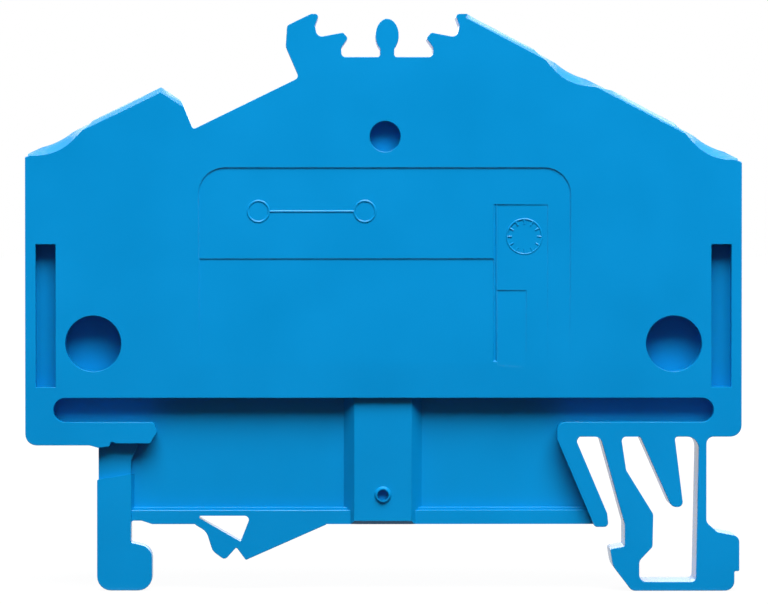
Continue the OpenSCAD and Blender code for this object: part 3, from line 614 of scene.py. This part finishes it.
@dataclass
class RaisedRings:
    """Rings that the mould leaves standing on a flat wall, each with ticks round it."""

    name: str
    places_mm: tuple[Place, ...]
    side: Side
    size: RingSize
    ticks: int = 0
    tick_mm: tuple[float, float] = (0.0, 0.0)
    ring_points: int = 48
    line_points: int = 12

    def build(self) -> None:
        """Raise the rings and turn them into one plain piece."""
        points = bmesh.new()
        sunk = math.copysign(1.0, self.side.value) * (self.size.stroke_mm / 2 - self.size.relief_mm)
        for x, y, z in self.places_mm:
            points.verts.new(Vector((x, y + sunk, z)) * MM)
        seed = link_mesh(points, f"{self.name} places")
        tree = self.tree()
        modifier = seed.modifiers.new("rings", "NODES")
        modifier.node_group = tree
        sizes = {
            "Radius": self.size.radius_mm * MM,
            "Stroke": self.size.stroke_mm * MM,
            "Ticks": self.ticks,
            "Tick Start": self.tick_mm[0] * MM,
            "Tick End": self.tick_mm[1] * MM,
            "Turn": math.radians(self.side.value),
            "Finish": POLYAMIDE.material(),
        }
        for item in tree.interface.items_tree:
            if item.name in sizes:
                modifier[item.identifier] = sizes[item.name]
        graph = bpy.context.evaluated_depsgraph_get()
        rings = bmesh.new()
        rings.from_mesh(bpy.data.meshes.new_from_object(seed.evaluated_get(graph)))
        bpy.data.objects.remove(seed)
        bmesh.ops.recalc_face_normals(rings, faces=rings.faces)
        piece = link_mesh(rings, self.name)
        piece.data.materials.append(POLYAMIDE.material())
        bind(piece)

    def tree(self) -> bpy.types.GeometryNodeTree:
        """Build the node tree that draws a ring and its ticks on every place.

        Returns:
            The tree, with a named input for each size.
        """
        tree = bpy.data.node_groups.new("raised rings", "GeometryNodeTree")
        sockets = (("Places", "Geometry"), ("Radius", "Float"), ("Stroke", "Float"), ("Ticks", "Int"),
                   ("Tick Start", "Float"), ("Tick End", "Float"), ("Turn", "Float"), ("Finish", "Material"))
        for name, kind in sockets:
            tree.interface.new_socket(name, in_out="INPUT", socket_type=f"NodeSocket{kind}")
        tree.interface.new_socket("Rings", in_out="OUTPUT", socket_type="NodeSocketGeometry")
        given = add_node(tree, "NodeGroupInput").outputs
        ring = add_node(tree, "GeometryNodeCurvePrimitiveCircle", {
            "Resolution": self.ring_points, "Radius": given["Radius"],
        })
        start = add_node(tree, "ShaderNodeCombineXYZ", {"X": given["Tick Start"]})
        end = add_node(tree, "ShaderNodeCombineXYZ", {"X": given["Tick End"]})
        tick = add_node(tree, "GeometryNodeCurvePrimitiveLine", {
            "Start": start.outputs["Vector"], "End": end.outputs["Vector"],
        })
        step = add_node(tree, "ShaderNodeMath", {0: math.tau, 1: given["Ticks"]}, operation="DIVIDE")
        count = add_node(tree, "GeometryNodeInputIndex")
        angle = add_node(tree, "ShaderNodeMath", {
            0: count.outputs["Index"], 1: step.outputs["Value"],
        }, operation="MULTIPLY")
        way = add_node(tree, "ShaderNodeCombineXYZ", {"Z": angle.outputs["Value"]})
        hub = add_node(tree, "GeometryNodePoints", {"Count": given["Ticks"]})
        star = add_node(tree, "GeometryNodeInstanceOnPoints", {
            "Points": hub.outputs[0], "Instance": tick.outputs["Curve"], "Rotation": way.outputs["Vector"],
        })
        ticks = add_node(tree, "GeometryNodeRealizeInstances", {"Geometry": star.outputs["Instances"]})
        lines = add_node(tree, "GeometryNodeJoinGeometry", {
            "Geometry": [ring.outputs["Curve"], ticks.outputs["Geometry"]],
        })
        half = add_node(tree, "ShaderNodeMath", {0: given["Stroke"], 1: 2.0}, operation="DIVIDE")
        pen = add_node(tree, "GeometryNodeCurvePrimitiveCircle", {
            "Resolution": self.line_points, "Radius": half.outputs["Value"],
        })
        drawn = add_node(tree, "GeometryNodeCurveToMesh", {
            "Curve": lines.outputs["Geometry"], "Profile Curve": pen.outputs["Curve"], "Fill Caps": True,
        })
        turn = add_node(tree, "ShaderNodeCombineXYZ", {"X": given["Turn"]})
        placed = add_node(tree, "GeometryNodeInstanceOnPoints", {
            "Points": given["Places"], "Instance": drawn.outputs["Mesh"], "Rotation": turn.outputs["Vector"],
        })
        real = add_node(tree, "GeometryNodeRealizeInstances", {"Geometry": placed.outputs["Instances"]})
        done = add_node(tree, "GeometryNodeSetMaterial", {
            "Geometry": real.outputs["Geometry"], "Material": given["Finish"],
        })
        add_node(tree, "NodeGroupOutput", {"Rings": done.outputs["Geometry"]})
        return tree


@dataclass
class MouldMarks:
    """Marks from the mould: a through sign and a date ring on the panel, ejector rings in the cavity."""

    panel: MarkingPanel = MarkingPanel()
    sign_mm: tuple[float, float, float] = (-8.9, -1.3, 22.4)
    sign_ring: RingSize = RingSize(0.75, 0.2, 0.06)
    date_mm: tuple[float, float] = (10.1, 20.6)
    date_ring: RingSize = RingSize(1.25, 0.16, 0.05)
    months: int = 12
    month_start_mm: float = 0.9
    ejectors_mm: tuple[tuple[float, float], ...] = (
        (-16.5, 11.3), (-9.0, 12.0), (-6.2, 24.0), (-2.0, 18.0), (1.1, 12.1), (12.5, 11.0),
    )
    ejector_ring: RingSize = RingSize(1.0, 0.16, 0.06)

    def build(self) -> None:
        """Raise every mark on the wall that carries it."""
        left, right, height = self.sign_mm
        level = self.panel.level(left, height)
        radius = self.sign_ring.radius_mm
        RaisedRings("through_sign_start", ((left, level, height),), Side.CLOSED, self.sign_ring,
                    ticks=1, tick_mm=(radius, right - left - radius)).build()
        RaisedRings("through_sign_end", ((right, level, height),), Side.CLOSED, self.sign_ring).build()
        x, z = self.date_mm
        RaisedRings("date_ring", ((x, self.panel.level(x, z), z),), Side.CLOSED, self.date_ring,
                    ticks=self.months, tick_mm=(self.month_start_mm, self.date_ring.radius_mm)).build()
        places = tuple((x, CAVITY_FLOOR_MM, z) for x, z in self.ejectors_mm)
        RaisedRings("ejector_rings", places, Side.OPEN, self.ejector_ring).build()


@dataclass(frozen=True)
class Lamp:
    """A soft box that looks at the middle of the block; sizes are in metres."""

    name: str
    place: Place
    size: tuple[float, float]
    watts: float
    in_gloss: bool = True

    def hang(self, target: Vector) -> None:
        """Hang the lamp, turned to its target.

        Args:
            target: Place in metres that it looks at.
        """
        data = bpy.data.lights.new(self.name, "AREA")
        data.shape = "RECTANGLE"
        data.size, data.size_y = self.size
        data.energy = self.watts
        lamp = bpy.data.objects.new(self.name, data)
        lamp.location = self.place
        lamp.rotation_euler = (target - Vector(self.place)).to_track_quat("-Z", "Y").to_euler()
        lamp.visible_camera = False
        lamp.visible_glossy = self.in_gloss
        bpy.context.scene.collection.objects.link(lamp)


@dataclass
class Studio:
    """Pale floor, white surroundings, soft lamps and the camera of the photograph.

    The camera looks at centre_mm on the closed face, and stand_mm is how far right of it and above it the
    camera stands. The limits of a glow are the Y up to which gloss is dark and the Y from which it is white.
    """

    distance_mm: float = 400.0
    pixels_per_mm: float = 14.0
    centre_mm: tuple[float, float] = (0.0714, 15.93)
    stand_mm: tuple[float, float] = (-4.0, 8.0)
    near_mm: float = 10.0
    world_glow: tuple[float, float] = (-0.35, 0.0)
    world_light: float = 0.115
    floor_size_mm: float = 4000.0
    floor_gap_mm: float = 0.02
    floor_shade: str = "#3c3c3c"
    floor_glow_mm: tuple[float, float] = (-4.5, -2.5)
    tone_reach_mm: tuple[float, float] = (50.0, 400.0)
    tone: tuple[float, float] = (0.94, 1.0)
    lamps: tuple[Lamp, ...] = (
        Lamp("key", (0.040, -0.218, 0.325), (0.36, 0.25), 3.02),
        Lamp("back", (-0.03, 0.30, 0.28), (0.25, 0.25), 1.35, False),
        Lamp("panel", (0.0, 0.30, 0.105), (0.34, 0.12), 0.3),
        Lamp("left", (-0.40, 0.07, 0.12), (0.2, 0.3), 0.6, False),
        Lamp("right", (0.40, 0.07, 0.12), (0.2, 0.3), 0.6, False),
    )

    def build(self) -> None:
        """Set up the floor, the surroundings, the lamps and the camera."""
        self.camera()
        self.floor()
        self.world()
        for lamp in self.lamps:
            lamp.hang(Vector((0, 0, self.centre_mm[1] * MM)))
        bpy.context.scene.view_settings.view_transform = "Standard"

    def camera(self) -> None:
        """Place the camera before the closed face, a little to the left of its middle and above it."""
        data = bpy.data.cameras.new("camera")
        data.sensor_width = SENSOR_MM
        data.lens = self.pixels_per_mm * self.distance_mm / IMAGE_WIDTH_PX * SENSOR_MM
        data.clip_start = self.near_mm * MM
        camera = bpy.data.objects.new("camera", data)
        middle = Vector((self.centre_mm[0], FACE_MM, self.centre_mm[1])) * MM
        away = Vector((self.stand_mm[0], 0.0, self.stand_mm[1])) * MM
        away.y = -math.sqrt((self.distance_mm * MM) ** 2 - away.length_squared)
        camera.location = middle + away
        camera.rotation_euler = (-away).to_track_quat("-Z", "Y").to_euler()
        bpy.context.scene.collection.objects.link(camera)
        bpy.context.scene.camera = camera

    def world(self) -> None:
        """Make the surroundings white to the eye and in gloss, and dimmer as a source of light."""
        world = bpy.data.worlds.new("white studio")
        world.use_nodes = True
        tree = world.node_tree
        tree.nodes.clear()
        way = add_node(tree, "ShaderNodeTexCoord")
        white = add_node(tree, "ShaderNodeBackground", {
            "Color": linear(WHITE), "Strength": self.glow(tree, way.outputs["Generated"], *self.world_glow),
        })
        light = add_node(tree, "ShaderNodeBackground", {"Color": linear(WHITE), "Strength": self.world_light})
        mix = add_node(tree, "ShaderNodeMixShader", {
            "Fac": self.seen(tree), 1: light.outputs["Background"], 2: white.outputs["Background"],
        })
        add_node(tree, "ShaderNodeOutputWorld", {"Surface": mix.outputs["Shader"]})
        bpy.context.scene.world = world

    def glow(self, tree: bpy.types.NodeTree, place: bpy.types.NodeSocket,
             dark_to: float, white_from: float) -> bpy.types.NodeSocket:
        """Add the whiteness of the surroundings: full to the eye, and in gloss only behind the block.

        Args:
            tree: Tree that takes the nodes.
            place: Direction or place that is looked at.
            dark_to: Its Y up to which gloss stays dark.
            white_from: Its Y from which on gloss shows full white.

        Returns:
            The strength, at most 1.
        """
        parts = add_node(tree, "ShaderNodeSeparateXYZ", {"Vector": place})
        behind = add_node(tree, "ShaderNodeMapRange", {
            "Value": parts.outputs["Y"], "From Min": dark_to, "From Max": white_from,
        })
        path = add_node(tree, "ShaderNodeLightPath")
        return add_node(tree, "ShaderNodeMath", {
            0: path.outputs["Is Camera Ray"], 1: behind.outputs["Result"],
        }, operation="MAXIMUM").outputs["Value"]

    def seen(self, tree: bpy.types.NodeTree) -> bpy.types.NodeSocket:
        """Add the test for rays that show the surroundings to the eye.

        Args:
            tree: Tree that takes the nodes.

        Returns:
            1 for camera, glossy and transmission rays, or else 0.
        """
        path = add_node(tree, "ShaderNodeLightPath")
        gloss = add_node(tree, "ShaderNodeMath", {
            0: path.outputs["Is Glossy Ray"], 1: path.outputs["Is Transmission Ray"],
        }, operation="MAXIMUM")
        return add_node(tree, "ShaderNodeMath", {
            0: path.outputs["Is Camera Ray"], 1: gloss.outputs["Value"],
        }, operation="MAXIMUM").outputs["Value"]

    def floor(self) -> None:
        """Lay the floor under the feet; it is white to the eye, keeps the shadow and throws little light."""
        half = self.floor_size_mm / 2 * MM
        level = CAD_BOX[0].z - self.floor_gap_mm * MM
        mesh = bpy.data.meshes.new("floor")
        corners = [(-half, -half, level), (half, -half, level), (half, half, level), (-half, half, level)]
        mesh.from_pydata(corners, [], [(0, 1, 2, 3)])
        material, tree = new_material("matt white paper")
        paper = add_node(tree, "ShaderNodeBsdfDiffuse", {"Color": linear(self.floor_shade)})
        place = add_node(tree, "ShaderNodeTexCoord")
        reach = add_node(tree, "ShaderNodeVectorMath", {0: place.outputs["Object"]}, operation="LENGTH")
        tone = add_node(tree, "ShaderNodeMapRange", {
            "Value": reach.outputs["Value"],
            "From Min": self.tone_reach_mm[0] * MM, "From Max": self.tone_reach_mm[1] * MM,
            "To Min": self.tone[0], "To Max": self.tone[1],
        })
        limits = [limit * MM for limit in self.floor_glow_mm]
        glow = add_node(tree, "ShaderNodeEmission", {
            "Color": tone.outputs["Result"], "Strength": self.glow(tree, place.outputs["Object"], *limits),
        })
        white = add_node(tree, "ShaderNodeAddShader", {0: paper.outputs["BSDF"], 1: glow.outputs["Emission"]})
        mix = add_node(tree, "ShaderNodeMixShader", {
            "Fac": self.seen(tree), 1: paper.outputs["BSDF"], 2: white.outputs["Shader"],
        })
        add_node(tree, "ShaderNodeOutputMaterial", {"Surface": mix.outputs["Shader"]})
        mesh.materials.append(material)
        floor = bpy.data.objects.new("floor", mesh)
        bpy.context.scene.collection.objects.link(floor)


def main() -> None:
    """Build every piece in order."""
    logging.basicConfig(level=logging.INFO, format="%(message)s")
    Housing().build()
    StampedPart("current_bar", Slot.TIN, TIN_PLATE).build()
    for side in ("left", "right_outer", "right_inner"):
        StampedPart(f"clamp_spring_{side}", Slot.STEEL, SPRING_STRIP).build()
    MouldMarks().build()
    Studio().build()


if __name__ == "__main__":
    main()
